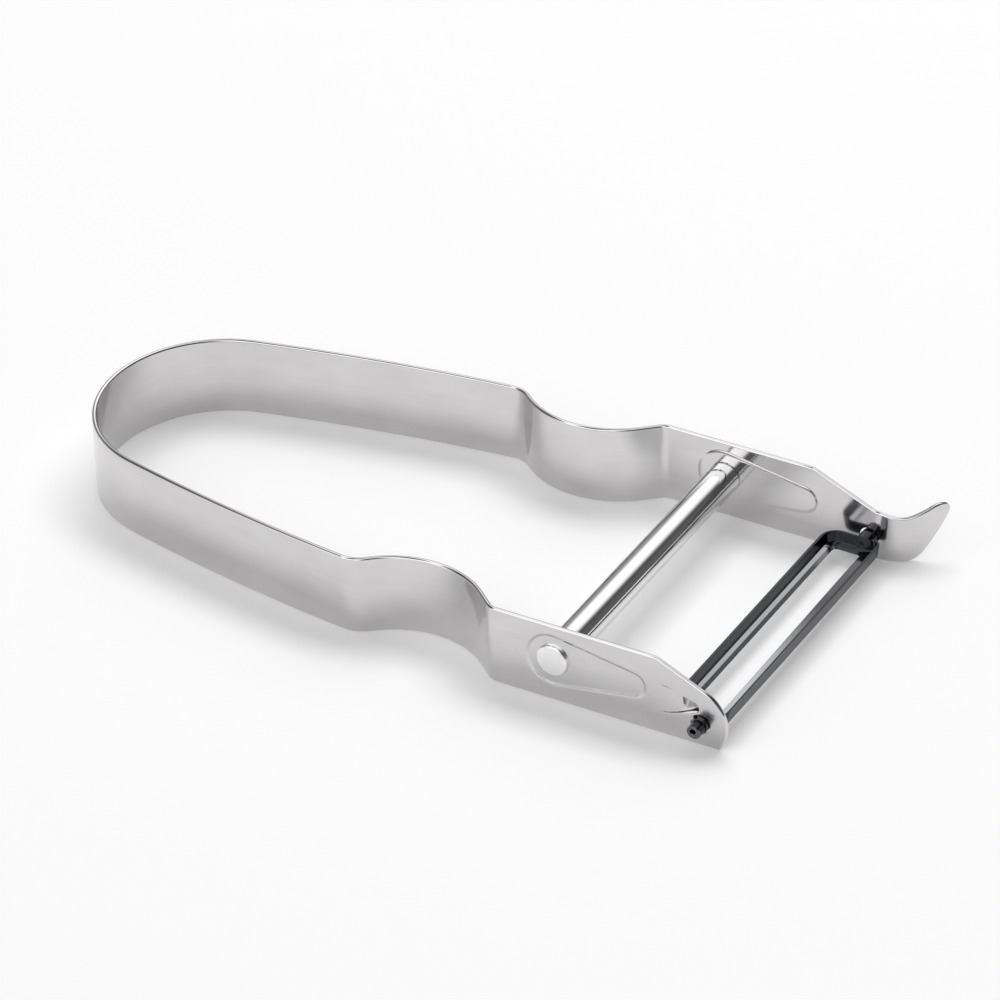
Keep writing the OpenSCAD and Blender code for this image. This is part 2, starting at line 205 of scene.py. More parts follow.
def sheet_piece(name, loops, spare, place, thickness, edge, crown=0, marks=None, rings=4,
                cut_bright=0):
    """Sheet metal cut flat to loops, the metal on the left of each, with spare points inside, and
    bent by place, which gives the middle of its thickness. Its cut edges are broken by the radius
    edge, but the first loop may be crowned right across the thickness instead. marks says, for each
    loop and then for the spare points, what place treats apart, and cut_bright how bright its cut
    edges are painted, as bare metal and as painted light."""
    marks = marks or [np.zeros(len(p), bool) for p in [*loops, spare]]
    outs = [edge_out(loop) for loop in loops]
    depths = [crown or edge] + [edge] * (len(loops) - 1)
    shrunk = [loop - out * depth for loop, out, depth in zip(loops, outs, depths)]
    flat = np.concatenate([*shrunk, spare])
    mark = np.concatenate(marks)
    first = np.cumsum([0] + [len(loop) for loop in loops])
    sides = [(first[k] + i, first[k] + (i + 1) % len(loop))
             for k, loop in enumerate(loops) for i in range(len(loop))]
    triangles_inside, closest = 1, 1e-7
    found = delaunay_2d_cdt([Vector(p) for p in flat], sides, [], triangles_inside, closest)
    source = [ids[0] for ids in found[3]]
    triangles = np.array([[source[i] for i in face] for face in found[2]])
    triangles = triangles[inside_of(flat[triangles].mean(1), shrunk)]

    def mid_and_out(at, marked):
        step = 2e-3
        ds, dz = np.array([step, 0]), np.array([0, step])
        middle = place(at, marked)
        along = place(at + ds, marked) - place(at - ds, marked)
        up = place(at + dz, marked) - place(at - dz, marked)
        return middle, unit(np.cross(up, along)), unit(along), unit(up)

    half = thickness / 2
    points, normals, where, faces, cut = [], [], [], [], []
    count = 0
    middle, out, _, _ = mid_and_out(flat, mark)
    for side in (1, -1):
        points.append(middle + out * half * side)
        normals.append(out * side)
        where.append(np.column_stack([flat, np.full(len(flat), side * half)]))
        cut.append(np.zeros(len(flat)))
        faces += (triangles + count).tolist()
        count += len(flat)
    for k, loop in enumerate(loops):
        # How far the edge stands out, its level, and its normal's share in each direction
        turns = np.linspace(0, math.pi / 2, rings + 1)[1:]
        high = half if crown and k == 0 else edge
        run = [(math.sin(t), half - high + high * math.cos(t), math.sin(t) / depths[k],
                math.cos(t) / high) for t in turns]
        run += [(stands, -level, away, -out) for stands, level, away, out
                in run[::-1][1 if high == half else 0:]]
        n = len(loop)
        ring_of = [first[k] + np.arange(n)]
        plane = unit(outs[k])
        for stands, level, share_away, share_out in run:
            at = shrunk[k] + outs[k] * depths[k] * stands
            middle, out, along, up = mid_and_out(at, marks[k])
            away = unit(along * plane[:, :1] + up * plane[:, 1:])
            points.append(middle + out * level)
            normals.append(out * share_out + away * share_away)
            where.append(np.column_stack([at, np.full(n, level)]))
            cut.append(np.full(n, cut_bright))
            ring_of.append(count + np.arange(n))
            count += n
        ring_of.append(len(flat) + first[k] + np.arange(n))
        for a, b in zip(ring_of, ring_of[1:]):
            faces += faces_between(a, b)
    return mesh_piece(name, np.concatenate(points), faces, np.concatenate(normals),
                      np.concatenate(where), np.concatenate(cut))


# The bends in their order from the near nose to the tip of the eye remover: length, curvature
half_loop = [(r * math.radians(abs(turn)), math.copysign(1 / r, turn)) for r, turn in side_bends]
half_loop += [(ramp_length, 0.0)]
half_loop += [(plate_bend[0] * math.radians(abs(plate_bend[1])), -1 / plate_bend[0])]
stretches = [(nose_tip_x - plate_start_x, 0.0)] + half_loop[::-1] + half_loop
far_plate_s = sum(length for length, _ in stretches)
stretches += [(curl_x - plate_start_x, 0.0), (curl_r * curl_turn, 1 / curl_r)]
curl_s = sum(length for length, _ in stretches[:-1])

starts, start_points, start_angles = [0.0], [np.array([nose_tip_x, -plate_mid_y])], [math.pi]
for length, curve in stretches:
    turn = length * curve
    a = start_angles[-1] + turn / 2
    chord = length * np.sinc(turn / 2 / math.pi)
    starts.append(starts[-1] + length)
    start_points.append(start_points[-1] + chord * np.array([math.cos(a), math.sin(a)]))
    start_angles.append(start_angles[-1] + turn)
starts, start_points = np.array(starts[:-1]), np.array(start_points[:-1])
start_angles, curves = np.array(start_angles[:-1]), np.array([c for _, c in stretches])


def side_on_x(s):
    """Distance from the rear of the loop, on the two flat plates."""
    return np.where(s < curl_s / 2, nose_tip_x - s, plate_start_x + s - far_plate_s)


def relief_gap(x, z):
    """Distance outside the outline of the relief, negative inside it."""
    lean = (relief_rear_r - relief_front_r) / relief_length
    upright = math.sqrt(1 - lean ** 2)
    p, q = np.abs(z - bar_z), x - bar_x
    k = -lean * p + upright * q
    gap = upright * p + lean * q - relief_rear_r
    gap = np.where(k < 0, np.hypot(p, q) - relief_rear_r, gap)
    at_front = np.hypot(p, q - relief_length) - relief_front_r
    return np.where(k > upright * relief_length, at_front, gap)


def strip_place(at, on_tongue):
    """Where points of the flat strip lie once it is bent, the relief and the tongue pushed in."""
    s, z = at[:, 0], at[:, 1]
    i = np.clip(np.searchsorted(starts, s, side="right") - 1, 0, len(starts) - 1)
    along = s - starts[i]
    half = curves[i] * along / 2
    chord = along * np.sinc(half / math.pi)
    a = start_angles[i] + 2 * half
    x = start_points[i, 0] + chord * np.cos(start_angles[i] + half)
    y = start_points[i, 1] + chord * np.sin(start_angles[i] + half)
    flat_x = side_on_x(s)
    on_plate = (s < nose_tip_x - plate_start_x) | (s > far_plate_s)
    step = eased((relief_half_step - relief_gap(flat_x, z)) / (2 * relief_half_step))
    inward = np.where(on_plate, relief_depth * step, 0)
    reach = np.clip(flat_x - tongue_root_x, 0, tongue_bend_end)
    sag = tongue_bend_r - np.sqrt(tongue_bend_r ** 2 - reach ** 2)
    twist = eased((reach - tongue_twist_from) / tongue_twist_over)
    sag = sag + np.clip(z - tongue_z + tongue_tip_r, 0, tongue_twist_up) * tongue_twist * twist
    inward = inward + np.where(on_tongue, sag, 0)
    return np.stack([x + np.sin(a) * inward, y - np.cos(a) * inward, z], 1)


def ring_round(cx, cz, r, n):
    a = np.arange(n) * 2 * math.pi / n
    return np.stack([cx + r * np.cos(a), cz + r * np.sin(a)], 1)


def relief_ring(offset):
    tangent = math.degrees(math.acos((relief_rear_r - relief_front_r) / relief_length))
    rear = arc_of(bar_x, bar_z, relief_rear_r + offset, tangent, 360 - tangent, step=5)
    front = arc_of(bar_x + relief_length, bar_z, relief_front_r + offset, -tangent, tangent)
    return filled_out(np.concatenate([rear, front]), spacing=0.32)


def tongue_edge(gap):
    """The edge of the tongue, from the top of its root round the tip to the bottom."""
    tangent = math.degrees(math.acos(
        (tongue_root_r - tongue_tip_r) / (tongue_tip_x - tongue_root_x)))
    return without_repeats(np.concatenate([
        arc_of(tongue_root_x, tongue_z, tongue_root_r - gap, 90, tangent, step=4),
        arc_of(tongue_tip_x, tongue_z, tongue_tip_r - gap, tangent, -tangent, step=10),
        arc_of(tongue_root_x, tongue_z, tongue_root_r - gap, -tangent, -90, step=4),
    ]), closed=False)


def near_flat(points):
    """A side view of the near plate as it lies on the flat strip."""
    return np.stack([nose_tip_x - points[:, 0], points[:, 1]], 1)


def far_flat(points):
    return np.stack([far_plate_s + points[:, 0] - plate_start_x, points[:, 1]], 1)


# Where the strip is cut across for its bends, in millimetres and, in a bend, in degrees
straight_step, long_bend, long_bend_step, short_bend_step = 2.0, 10, 3, 5
columns = []
for (length, curve), start in zip(stretches, starts):
    turn = math.degrees(length * abs(curve))
    bend_step = long_bend_step if length > long_bend else short_bend_step
    n = max(math.ceil(turn / bend_step), math.ceil(length / straight_step))
    columns += [start + length * i / n for i in range(n)]
columns = np.array(columns)

# The pointed end, drawn square to its chord and laid flat: x, z and radius of each corner
leaf = rounded_path([
    (0, 0, 0), (4.9, 0, 4.2), (11.0, 7.1, 1.2), (8.7, 8.65, 2.6), (3.3, 7.0, 5.0),
    (0, neck_height, 0),
])
leaf = filled_out(leaf, spacing=0.4, closed=False)
outer_r = curl_r + strip_thickness / 2
leaf_turn = curl_chord + np.arcsin((leaf[:, 0] - curl_r * math.sin(curl_chord)) / outer_r)
leaf = np.stack([curl_s + curl_r * leaf_turn, leaf[:, 1]], 1)

# The outline goes along the lower edge, round the pointed end, back along the upper edge and round
# the nose
toe = math.degrees(math.asin(-nose_z / nose_r))
nose = near_flat(arc_of(nose_x, nose_z, nose_r, 90 - math.degrees(slant), toe, step=5))
slant_top_s = nose[0, 0] + (strip_height - nose[0, 1]) / math.tan(slant)
neck_s = curl_s - (strip_height - neck_height) / math.tan(neck_slope)
clear_of_nose, clear_of_leaf, clear_of_corner, corner_arm, corner_spacing = 0.2, 0.1, 0.5, 5, 0.6
lower = columns[(columns > nose[-1, 0] + clear_of_nose) & (columns < leaf[0, 0] - clear_of_leaf)]
upper = columns[(columns > slant_top_s + clear_of_corner) & (columns < neck_s - clear_of_corner)]
neck_corner = rounded_path([(curl_s, neck_height, 0), (neck_s, strip_height, top_corner_r),
                            (neck_s - corner_arm, strip_height, 0)])[:-1]
slant_corner = rounded_path([(slant_top_s + corner_arm, strip_height, 0),
                             (slant_top_s, strip_height, top_corner_r), (*nose[0], 0)])[1:-1]
outline = without_repeats(np.concatenate([
    np.column_stack([lower, np.zeros(len(lower))]),
    leaf,
    filled_out(neck_corner, corner_spacing, closed=False),
    np.column_stack([upper[::-1], np.full(len(upper), strip_height)]),
    filled_out(np.concatenate([slant_corner, nose[:1]]), corner_spacing, closed=False),
    nose[1:],
]))

slit_outer = filled_out(tongue_edge(0), spacing=0.3, closed=False)
slit_inner = filled_out(tongue_edge(tongue_gap), spacing=0.3, closed=False)[::-1]
slit = near_flat(np.concatenate([slit_outer, slit_inner]))[::-1]
# The inner side of the slit moves with the tongue
slit_on_tongue = np.repeat([True, False], [len(slit_inner), len(slit_outer)])
pin_hole = ring_round(pivot_x, pivot_z, pin_hole_r, 56)
rivet_hole = ring_round(bar_x, bar_z, rivet_hole_r, 40)
strip_loops = [
    outline,
    slit,
    near_flat(pin_hole),
    near_flat(rivet_hole),
    far_flat(pin_hole)[::-1],
    far_flat(rivet_hole)[::-1],
]

# Points inside the outline: a plain grid, which gives way to rows on the tongue and to rings that
# follow the sides of the reliefs and the holes
first_row_z, plate_row_step, loop_row_step = 0.7, 1.0, 1.75
spare = []
for s in columns:
    on_plate = s < starts[1] or s > far_plate_s
    rows = np.arange(first_row_z, strip_height, plate_row_step if on_plate else loop_row_step)
    spare += [(s, z) for z in rows]
spare = np.array(spare)
tongue_rows = near_flat(np.array([
    (x, z) for x in np.arange(tongue_root_x - 1.0, tongue_tip_x + 0.8, 0.3)
    for z in tongue_z + np.arange(-2.4, 2.5, 0.4)
]))
clear_of_slit, clear_of_hole, clear_of_edge = 0.25, 0.2, strip_crown + 0.15
tongue_rows = tongue_rows[nearest_gap(tongue_rows, slit) > clear_of_slit]
relief_steps = relief_half_step * np.array([1.15, 0.85, 0.6, 0.3, 0, -0.3, -0.6, -0.85, -1.15])
relief_rings = np.concatenate([relief_ring(offset) for offset in relief_steps])
relief_rings = np.concatenate([near_flat(relief_rings), far_flat(relief_rings)])
hole_rings = np.concatenate([ring_round(pivot_x, pivot_z, pin_hole_r + offset, n)
                             for offset, n in ((0.35, 40), (0.8, 30))])
hole_rings = np.concatenate([near_flat(hole_rings), far_flat(hole_rings)])
for followed, clear in ((tongue_rows, 0.4), (relief_rings, 0.3), (hole_rings, 0.25)):
    spare = spare[nearest_gap(spare, followed) > clear]
spare = np.concatenate([spare, tongue_rows, relief_rings, hole_rings])
spare = spare[inside_of(spare, strip_loops)]
spare = spare[nearest_gap(spare, np.concatenate(strip_loops[1:])) > clear_of_hole]
spare = spare[nearest_gap(spare, filled_out(outline, spacing=0.25)) > clear_of_edge]

steel_strip = sheet_piece(
    "steel_strip", strip_loops, spare, strip_place, strip_thickness, strip_edge_r, strip_crown,
    marks=[np.zeros(len(outline), bool), slit_on_tongue,
           *[np.zeros(len(loop), bool) for loop in strip_loops[2:]],
           inside_of(spare, [near_flat(slit_inner)])], rings=6)
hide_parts("strip_frame")
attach(steel_strip, "frame")


def maths(tree, kind, *values):
    """The result of a math node, from sockets and numbers."""
    node = tree.nodes.new("ShaderNodeMath")
    node.operation = kind
    for socket, value in zip(node.inputs, values):
        if isinstance(value, (int, float)):
            socket.default_value = value
        else:
            tree.links.new(value, socket)
    return node.outputs[0]


def between(tree, value, low, high, result_low=0, result_high=1):
    """A value that turns smoothly from one result to another as a socket goes from low to high."""
    node = tree.nodes.new("ShaderNodeMapRange")
    node.interpolation_type = "SMOOTHSTEP"
    for socket, number in zip(list(node.inputs)[1:5], (low, high, result_low, result_high)):
        socket.default_value = number
    tree.links.new(value, node.inputs[0])
    return node.outputs[0]


def metal_grain_group():
    """What every metal surface here shares: rolling grain along X of its place, soft clouding left
    by the polish, and fine scratches from use."""
    group = bpy.data.node_groups.new("metal_grain", "ShaderNodeTree")
    for way, kind, names in (("INPUT", "Vector", ["Place"]), ("INPUT", "Color", ["Colour"]),
                             ("INPUT", "Float", ["Roughness", "Grain", "Clouding", "Scratches"]),
                             ("OUTPUT", "Color", ["Colour"]),
                             ("OUTPUT", "Float", ["Roughness", "Height"])):
        for name in names:
            group.interface.new_socket(name, in_out=way, socket_type="NodeSocket" + kind)
    nodes, links = group.nodes, group.links
    given, result = nodes.new("NodeGroupInput"), nodes.new("NodeGroupOutput")

    def noise(size, turn, detail, rough=0.6):
        stretch = nodes.new("ShaderNodeMapping")
        stretch.vector_type = "TEXTURE"
        stretch.inputs["Rotation"].default_value = (0, 0, math.radians(turn))
        stretch.inputs["Scale"].default_value = size
        links.new(given.outputs["Place"], stretch.inputs["Vector"])
        field = nodes.new("ShaderNodeTexNoise")
        field.inputs["Scale"].default_value = 1.0
        field.inputs["Detail"].default_value = detail
        field.inputs["Roughness"].default_value = rough
        links.new(stretch.outputs[0], field.inputs["Vector"])
        return field.outputs["Fac"]

    def lines(size, turn):
        # Only the peaks of the noise show
        peak_from, peak_full = 0.66, 0.74
        return between(group, noise(size, turn, 1.0, 0.3), peak_from, peak_full)

    # How large each mark is, in millimetres, and how much it changes the colour and the roughness
    grain_size, cloud_size = (14.0, 0.16, 0.16), (9.0, 5.0, 5.0)
    short_scratch, long_scratch = (2.6, 0.05, 3.0), (3.4, 0.045, 3.0)
    grain_shade, cloud_shade, scratch_shade = 0.22, 0.3, 0.05
    grain_rough, cloud_rough, scratch_rough, scratch_depth = 0.14, 0.2, 0.12, 0.6

    streak = maths(group, "MULTIPLY", maths(group, "SUBTRACT", noise(grain_size, 0, 4.0), 0.5),
                   given.outputs["Grain"])
    cloud = maths(group, "MULTIPLY", maths(group, "SUBTRACT", noise(cloud_size, 0, 2.0), 0.5),
                  given.outputs["Clouding"])
    marks = maths(group, "MAXIMUM", lines(short_scratch, 24), lines(long_scratch, -37))
    marks = maths(group, "MULTIPLY", marks, given.outputs["Scratches"])
    shade = maths(group, "ADD", maths(group, "MULTIPLY_ADD", streak, grain_shade, 1.0),
                  maths(group, "MULTIPLY", cloud, cloud_shade))
    shade = maths(group, "MULTIPLY_ADD", marks, scratch_shade, shade)
    tint = nodes.new("ShaderNodeVectorMath")
    tint.operation = "SCALE"
    links.new(given.outputs["Colour"], tint.inputs[0])
    links.new(shade, tint.inputs["Scale"])
    links.new(tint.outputs[0], result.inputs["Colour"])
    rough = maths(group, "ADD", given.outputs["Roughness"],
                  maths(group, "MULTIPLY", streak, grain_rough))
    rough = maths(group, "ADD", rough, maths(group, "MULTIPLY", cloud, cloud_rough))
    links.new(maths(group, "MULTIPLY_ADD", marks, scratch_rough, rough), result.inputs["Roughness"])
    links.new(maths(group, "SUBTRACT", streak, maths(group, "MULTIPLY", marks, scratch_depth)),
              result.inputs["Height"])
    return group


metal_grain = metal_grain_group()
grain_height = 0.0015


def metal_of(name, colour, roughness, grain, clouding, scratches):
    """A bare metal, with colour, roughness and fine relief from the grain group."""
    made = bpy.data.materials.new(name)
    made.use_nodes = True
    nodes, links = made.node_tree.nodes, made.node_tree.links
    shader = nodes["Principled BSDF"]
    shader.inputs["Metallic"].default_value = 1.0
    place = nodes.new("ShaderNodeAttribute")
    place.attribute_name = "grain_place"
    surface = nodes.new("ShaderNodeGroup")
    surface.node_tree = metal_grain
    links.new(place.outputs["Vector"], surface.inputs["Place"])
    for socket, value in (("Colour", (*colour, 1)), ("Roughness", roughness), ("Grain", grain),
                          ("Clouding", clouding), ("Scratches", scratches)):
        surface.inputs[socket].default_value = value
    links.new(surface.outputs["Colour"], shader.inputs["Base Color"])
    links.new(surface.outputs["Roughness"], shader.inputs["Roughness"])
    bump = nodes.new("ShaderNodeBump")
    bump.inputs["Strength"].default_value = 1.0
    bump.inputs["Distance"].default_value = grain_height * MM
    links.new(surface.outputs["Height"], bump.inputs["Height"])
    links.new(bump.outputs["Normal"], shader.inputs["Normal"])
    return made, surface, place


# The outside of the near plate is satin up to the bend behind it, and the cut edges are bright
face_roughness, cut_roughness, satin_more = 0.13, 0.07, 0.09
satin_until, satin_gone = 32.0, 36.0
strip_steel, strip_surface, strip_where = metal_of(
    "strip_steel", colour=(0.655, 0.643, 0.65), roughness=face_roughness, grain=0.6, clouding=0.7,
    scratches=0.5)
steel_tree = strip_steel.node_tree
split_place = steel_tree.nodes.new("ShaderNodeSeparateXYZ")
steel_tree.links.new(strip_where.outputs["Vector"], split_place.inputs[0])
along_strip, _, through_strip = split_place.outputs
near_plate = between(steel_tree, along_strip, satin_until, satin_gone, 1.0, 0.0)
outside = between(steel_tree, through_strip, 0.2, 0.34)
satin = maths(steel_tree, "MULTIPLY", near_plate, outside)
satin = maths(steel_tree, "MULTIPLY", satin, satin_more)
off_middle = maths(steel_tree, "ABSOLUTE", through_strip)
polish = between(steel_tree, off_middle, 0.30, 0.345, cut_roughness, face_roughness)
steel_tree.links.new(maths(steel_tree, "ADD", polish, satin), strip_surface.inputs["Roughness"])
steel_strip.data.materials.append(strip_steel)

# ---------------------------------------------------------------------------
# Spacer tube: the crossbar that sets the width of the head.
# A short length of chromed steel tube, cut square and slightly broken at its ends, held between the
# two pressed reliefs.
# ---------------------------------------------------------------------------
tube_r, tube_bore_r, tube_half, tube_edge = 2.3, 1.35, 23.7, 0.22


def turned_piece(name, profile, centre_x, centre_z, around=96):
    """A turned part along Y. profile is a closed run of radius, y and the outward normal there."""
    a = np.arange(around) * 2 * math.pi / around
    points, normals, faces = [], [], []
    for k, (r, y, nr, ny) in enumerate(profile):
        points.append(np.stack([centre_x + r * np.cos(a), np.full(around, y),
                                centre_z + r * np.sin(a)], 1))
        normals.append(np.stack([nr * np.cos(a), np.full(around, ny), nr * np.sin(a)], 1))
        faces += faces_between(k * around + np.arange(around),
                               (k + 1) % len(profile) * around + np.arange(around))
    return mesh_piece(name, np.concatenate(points), faces, np.concatenate(normals))


def rounded_turn(r, y, edge, start, end):
    """The part of a profile that rounds an edge, about a centre, from one angle to another."""
    edge_points = 4
    a = np.radians(np.linspace(start, end, edge_points))
    return [(r + edge * math.cos(t), y + edge * math.sin(t), math.cos(t), math.sin(t)) for t in a]


tube_profile = []
outer, inner = tube_r - tube_edge, tube_bore_r + tube_edge
for quarter, (r, side) in enumerate(((outer, 1), (inner, 1), (inner, -1), (outer, -1))):
    tube_profile += rounded_turn(r, side * (tube_half - tube_edge), tube_edge,
                                 start=90 * quarter, end=90 * quarter + 90)
spacer = turned_piece("crossbar_tube", tube_profile, bar_x, bar_z)
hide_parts("spacer_tube")
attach(spacer, "frame")
spacer.data.materials.append(metal_of("tube_chrome", colour=(0.72, 0.72, 0.725), roughness=0.09,
                                      grain=0.35, clouding=0.2, scratches=0.35)[0])

# ---------------------------------------------------------------------------
# Through rivet: its shank runs through the tube and its two flat heads clamp the plates to it.
# Bright steel wire, one head forged before and one set after it is in place.
# ---------------------------------------------------------------------------
shank_r, head_r, head_seat_y, head_t, head_edge = 1.3, 2.4, 24.3, 0.66, 0.34
head_y = head_seat_y + head_t
centre_r, seat_bevel, shank_bevel = 0.02, 0.04, 0.02
rivet_profile = []
for side in (1, -1):
    turned = [
        (centre_r, side * head_y, 0, side),
        (head_r - head_edge, side * head_y, 0, side),
        *[(r, side * y, nr, side * ny) for r, y, nr, ny in
          rounded_turn(head_r - head_edge, head_y - head_edge, head_edge, 90, 0)[1:]],
        (head_r, side * (head_seat_y + seat_bevel), 1, 0),
        (head_r - seat_bevel, side * head_seat_y, 0, -side),
        (shank_r + shank_bevel, side * head_seat_y, 0, -side),
        (shank_r, side * (head_seat_y - shank_bevel), 1, 0),
    ]
    rivet_profile += turned if side == 1 else turned[::-1]
rivet = turned_piece("rivet", rivet_profile, bar_x, bar_z, around=72)
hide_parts("through_rivet")
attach(rivet, "frame")
rivet.data.materials.append(metal_of("rivet_metal", colour=(0.86, 0.86, 0.86), roughness=0.24,
                                     grain=0.3, clouding=0.8, scratches=0.6)[0])

# ---------------------------------------------------------------------------
# Swivel blade: one piece of blade steel with a turned-up rim all round and a slot with two ground
# edges. It's pressed, hardened and darkened, and the edges are ground last.
# ---------------------------------------------------------------------------
# The steps along an end and along a bar of each ring round the blade, and the points of a corner
end_steps, bar_steps, corner_points = 6, 48, 9
blade_back, blade_front, blade_drop = 5.4, 2.4, 1.4
blade_half, bar_end = 22.35, 21.0
rim_height, rim_lean, rim_t = 2.15, 0.3, 0.38
blade_corner_rear, blade_corner_front = 2.2, 0.9
slot_half, slot_corner, ridge_back, bar_floor_z = 21.05, 0.8, 0.35, -0.78
# Where the two faces of the rear bar meet, and its edge: x, z
rear_ridge, rear_edge = (-4.47, -1.03), (-3.95, -1.4)
# The front bar's side of the slot at the near end, its height, and its slope, by which it lies
# further back the lower it is. The twist moves both by the far end
front_side_x, front_side_z, front_slope = 1.2, -0.8, 0.75
twist_x, twist_z, twist_from_y, twist_over = -0.2, -0.25, -14, 28
# How far the edges are rounded, and the bends between the underside, the rim and the bars
soft, crisp, outer_bend, inner_bend = 0.09, 0.03, 0.4, 0.12
# The ground brightness ends with the bars. Painted shade darkens the front bar towards the far end
bright_fade, front_from_x, front_over = 0.4, -1, 0.5
painted_shade_from_y, painted_shade_over, painted_shade_share = -6, 15, 0.85
dark_steel, ground_steel = (0.04, 0.041, 0.046), (0.38, 0.385, 0.4)


def plan_ring(x0, x1, y, rear_r, front_r, z):
    """A ring of points round the blade at one height, and its outward directions in plan."""
    points, outs = [], []
    corners = [(x1 - front_r, y - front_r, front_r, 0), (x0 + rear_r, y - rear_r, rear_r, 90),
               (x0 + rear_r, rear_r - y, rear_r, 180), (x1 - front_r, front_r - y, front_r, 270)]
    for k, (cx, cy, r, start) in enumerate(corners):
        steps = bar_steps if k % 2 else end_steps
        a = np.radians(start + np.linspace(0, 90, corner_points))
        out = np.stack([np.cos(a), np.sin(a)], 1)
        arc_points = np.array([cx, cy]) + r * out
        nx, ny, nr, nstart = corners[(k + 1) % 4]
        na = math.radians(nstart)
        following = np.array([nx + nr * math.cos(na), ny + nr * math.sin(na)])
        t = np.arange(1, steps)[:, None] / steps
        points += [arc_points, arc_points[-1] + (following - arc_points[-1]) * t]
        outs += [out, np.repeat(out[-1:], steps - 1, 0)]
    points, outs = np.concatenate(points), np.concatenate(outs)
    return np.column_stack([points, np.full(len(points), z)]), outs


def outer_ring(offset, z):
    return plan_ring(-blade_back - offset, blade_front + offset, blade_half + offset,
                     blade_corner_rear + offset, blade_corner_front + offset, z)


def slot_ring(rear, half, lower=False):
    """A ring of the slot, from x and z at the rear bar. The front bar is twisted, so its side of
    the slot sinks towards the far end."""
    drawn_x = 1.0
    points, outs = plan_ring(rear[0], drawn_x, half, slot_corner, slot_corner, rear[1])
    share = np.clip((points[:, 0] - rear[0]) / (drawn_x - rear[0]), 0, 1)
    twist = np.clip((points[:, 1] - twist_from_y) / twist_over, 0, 1)
    front_z = front_side_z + twist_z * twist
    front_x = front_side_x + twist_x * twist + front_slope * front_z
    points[:, 0] += share * (front_x - drawn_x)
    points[:, 2] += share * ((-blade_drop if lower else front_z) - rear[1])
    return points, outs


def near(ring, other, gap):
    """The ring moved by a small gap towards another one."""
    return ring[0] + unit(other[0] - ring[0]) * gap, ring[1]


def banded_piece(name, bands, centre, bends, ground_bands, wear_and_highlight_edges):
    """A closed piece of flat bands, each between two rings, with a rounded edge from band to band.
    bends gives, by the number of a band, how many steps the edge after it has, and the last
    argument how bright that edge is painted, partly as wear and partly as a painted highlight.
    ground_bands are those that are ground bright along both bars."""
    points, normals = [], []
    for (inner, outs), (outer, _) in bands:
        tangent = np.column_stack([-outs[:, 1], outs[:, 0], np.zeros(len(outs))])
        normal = unit(np.cross(outer - inner, tangent))
        points += [inner, outer]
        normals += [normal, normal]
    rings = []
    count = len(points)
    for k in range(count):
        is_ground = k // 2 in ground_bands
        rings.append((points[k], normals[k], is_ground))
        steps = bends.get(k // 2, 1) if k % 2 else 1
        # How bright this edge is painted: partly wear, partly a painted highlight
        wear_and_highlight = wear_and_highlight_edges.get(k // 2, 0)
        nxt = (k + 1) % count
        for i in range(1, steps):
            t = i / steps
            n = unit(normals[k] * (1 - t) + normals[nxt] * t)
            # Both tangents meet in the corner that the arc rounds
            p = points[k] * (1 - t) ** 2 + points[nxt] * t ** 2
            d0 = unit(points[k] - points[k - 1])
            span = np.linalg.norm(points[nxt] - points[k], axis=1, keepdims=True)
            cosine = (normals[k] * normals[nxt]).sum(1, keepdims=True)
            sharpest = 0.2
            reach = span / np.sqrt(np.maximum(2 + 2 * cosine, sharpest))
            p = p + 2 * t * (1 - t) * (points[k] + d0 * reach)
            rings.append((p, n, max(wear_and_highlight, is_ground and nxt // 2 in ground_bands)))
    n = len(rings[0][0])
    faces = []
    for k in range(len(rings)):
        faces += faces_between(k * n + np.arange(n), (k + 1) % len(rings) * n + np.arange(n))
    all_points = np.concatenate([ring[0] for ring in rings]) + np.array(centre)
    ground = np.repeat([float(ring[2]) for ring in rings], n)
    ground *= np.clip((bar_end - np.abs(all_points[:, 1])) / bright_fade, 0, 1)
    # Painted shade: the front bar's ground colour darkens towards the far end
    on_front = np.clip((all_points[:, 0] - centre[0] - front_from_x) / front_over, 0, 1)
    painted_shade = np.clip((all_points[:, 1] - painted_shade_from_y) / painted_shade_over, 0, 1)
    ground *= 1 - on_front * painted_shade_share * painted_shade
    return mesh_piece(name, all_points, faces, np.concatenate([ring[1] for ring in rings]),
                      ground=ground)


rise = np.array([rim_lean, rim_height]) / math.hypot(rim_lean, rim_height)
base_z = -blade_drop
inner_foot = rim_lean * (bar_floor_z - base_z) / rim_height - rim_t
under = outer_ring(-outer_bend, base_z)
bar_floor = outer_ring(inner_foot - inner_bend, bar_floor_z)
ridge = slot_ring(rear_ridge, slot_half + ridge_back)
edge = slot_ring(rear_edge, slot_half, lower=True)
bands = [
    # underside
    (near(edge, under, crisp), under),
    # outside of the rim
    (outer_ring(rise[0] * outer_bend, base_z + rise[1] * outer_bend),
     outer_ring(rim_lean - rise[0] * soft, base_z + rim_height - rise[1] * soft)),
    # top of the rim
    (outer_ring(rim_lean - soft, base_z + rim_height),
     outer_ring(rim_lean - rim_t + soft, base_z + rim_height)),
    # inside of the rim
    (outer_ring(rim_lean - rim_t - rise[0] * soft, base_z + rim_height - rise[1] * soft),
     outer_ring(inner_foot + rise[0] * inner_bend, bar_floor_z + rise[1] * inner_bend)),
    # upper face of the bars, ground, and the steeper face that ends in the edge
    (bar_floor, near(ridge, bar_floor, crisp)),
    (near(ridge, edge, crisp), near(edge, ridge, crisp)),
]
